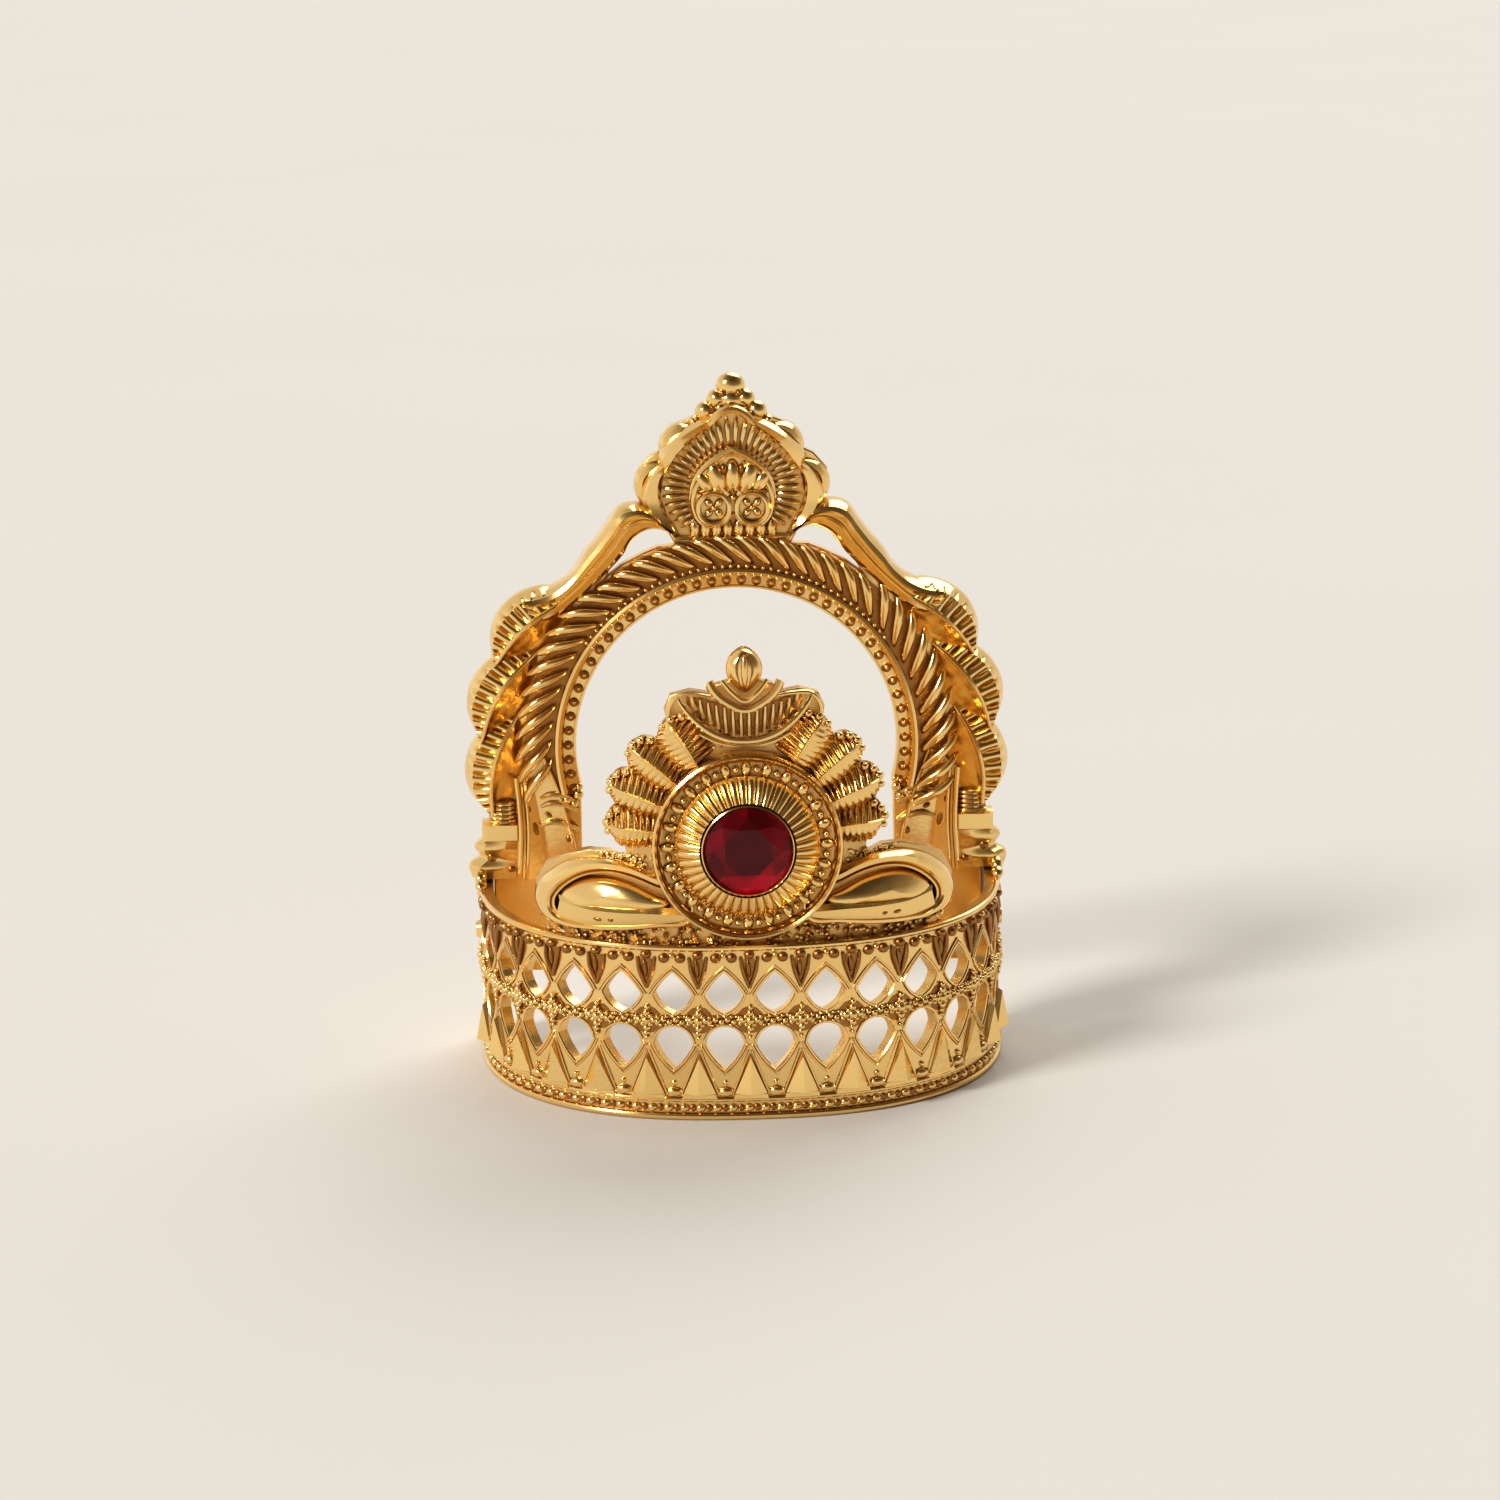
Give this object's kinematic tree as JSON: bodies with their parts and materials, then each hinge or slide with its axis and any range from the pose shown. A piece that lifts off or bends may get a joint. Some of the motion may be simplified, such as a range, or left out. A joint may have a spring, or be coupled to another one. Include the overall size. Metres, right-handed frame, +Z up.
{
  "type": "mukut crown",
  "caption": "Small gilt brass mukut crown: pierced half-round band, tall open arch with lobes and pediment, and a front crest of leaves with a red stone medallion.",
  "frame": {"origin": "centre of the band's circle, on the surface that the crown stands on", "axes": "+Z up, -Y towards the front with the stone, +X to the right as seen from the front"},
  "size_m": [0.0534, 0.0309, 0.0671],
  "materials": {
    "gilt_brass": "warm gold plating on cast brass, polished on the ridges and darker in the recesses",
    "red_glass": "deep red cut glass, polished"
  },
  "bodies": {
    "root": {"band": "gilt_brass", "arch": "gilt_brass", "crest": "gilt_brass", "medallion": "gilt_brass", "stone": "red_glass", "arch_rivet_left": "gilt_brass", "arch_rivet_right": "gilt_brass", "crest_rivet_left": "gilt_brass", "crest_rivet_right": "gilt_brass"}
  },
  "joints": []
}
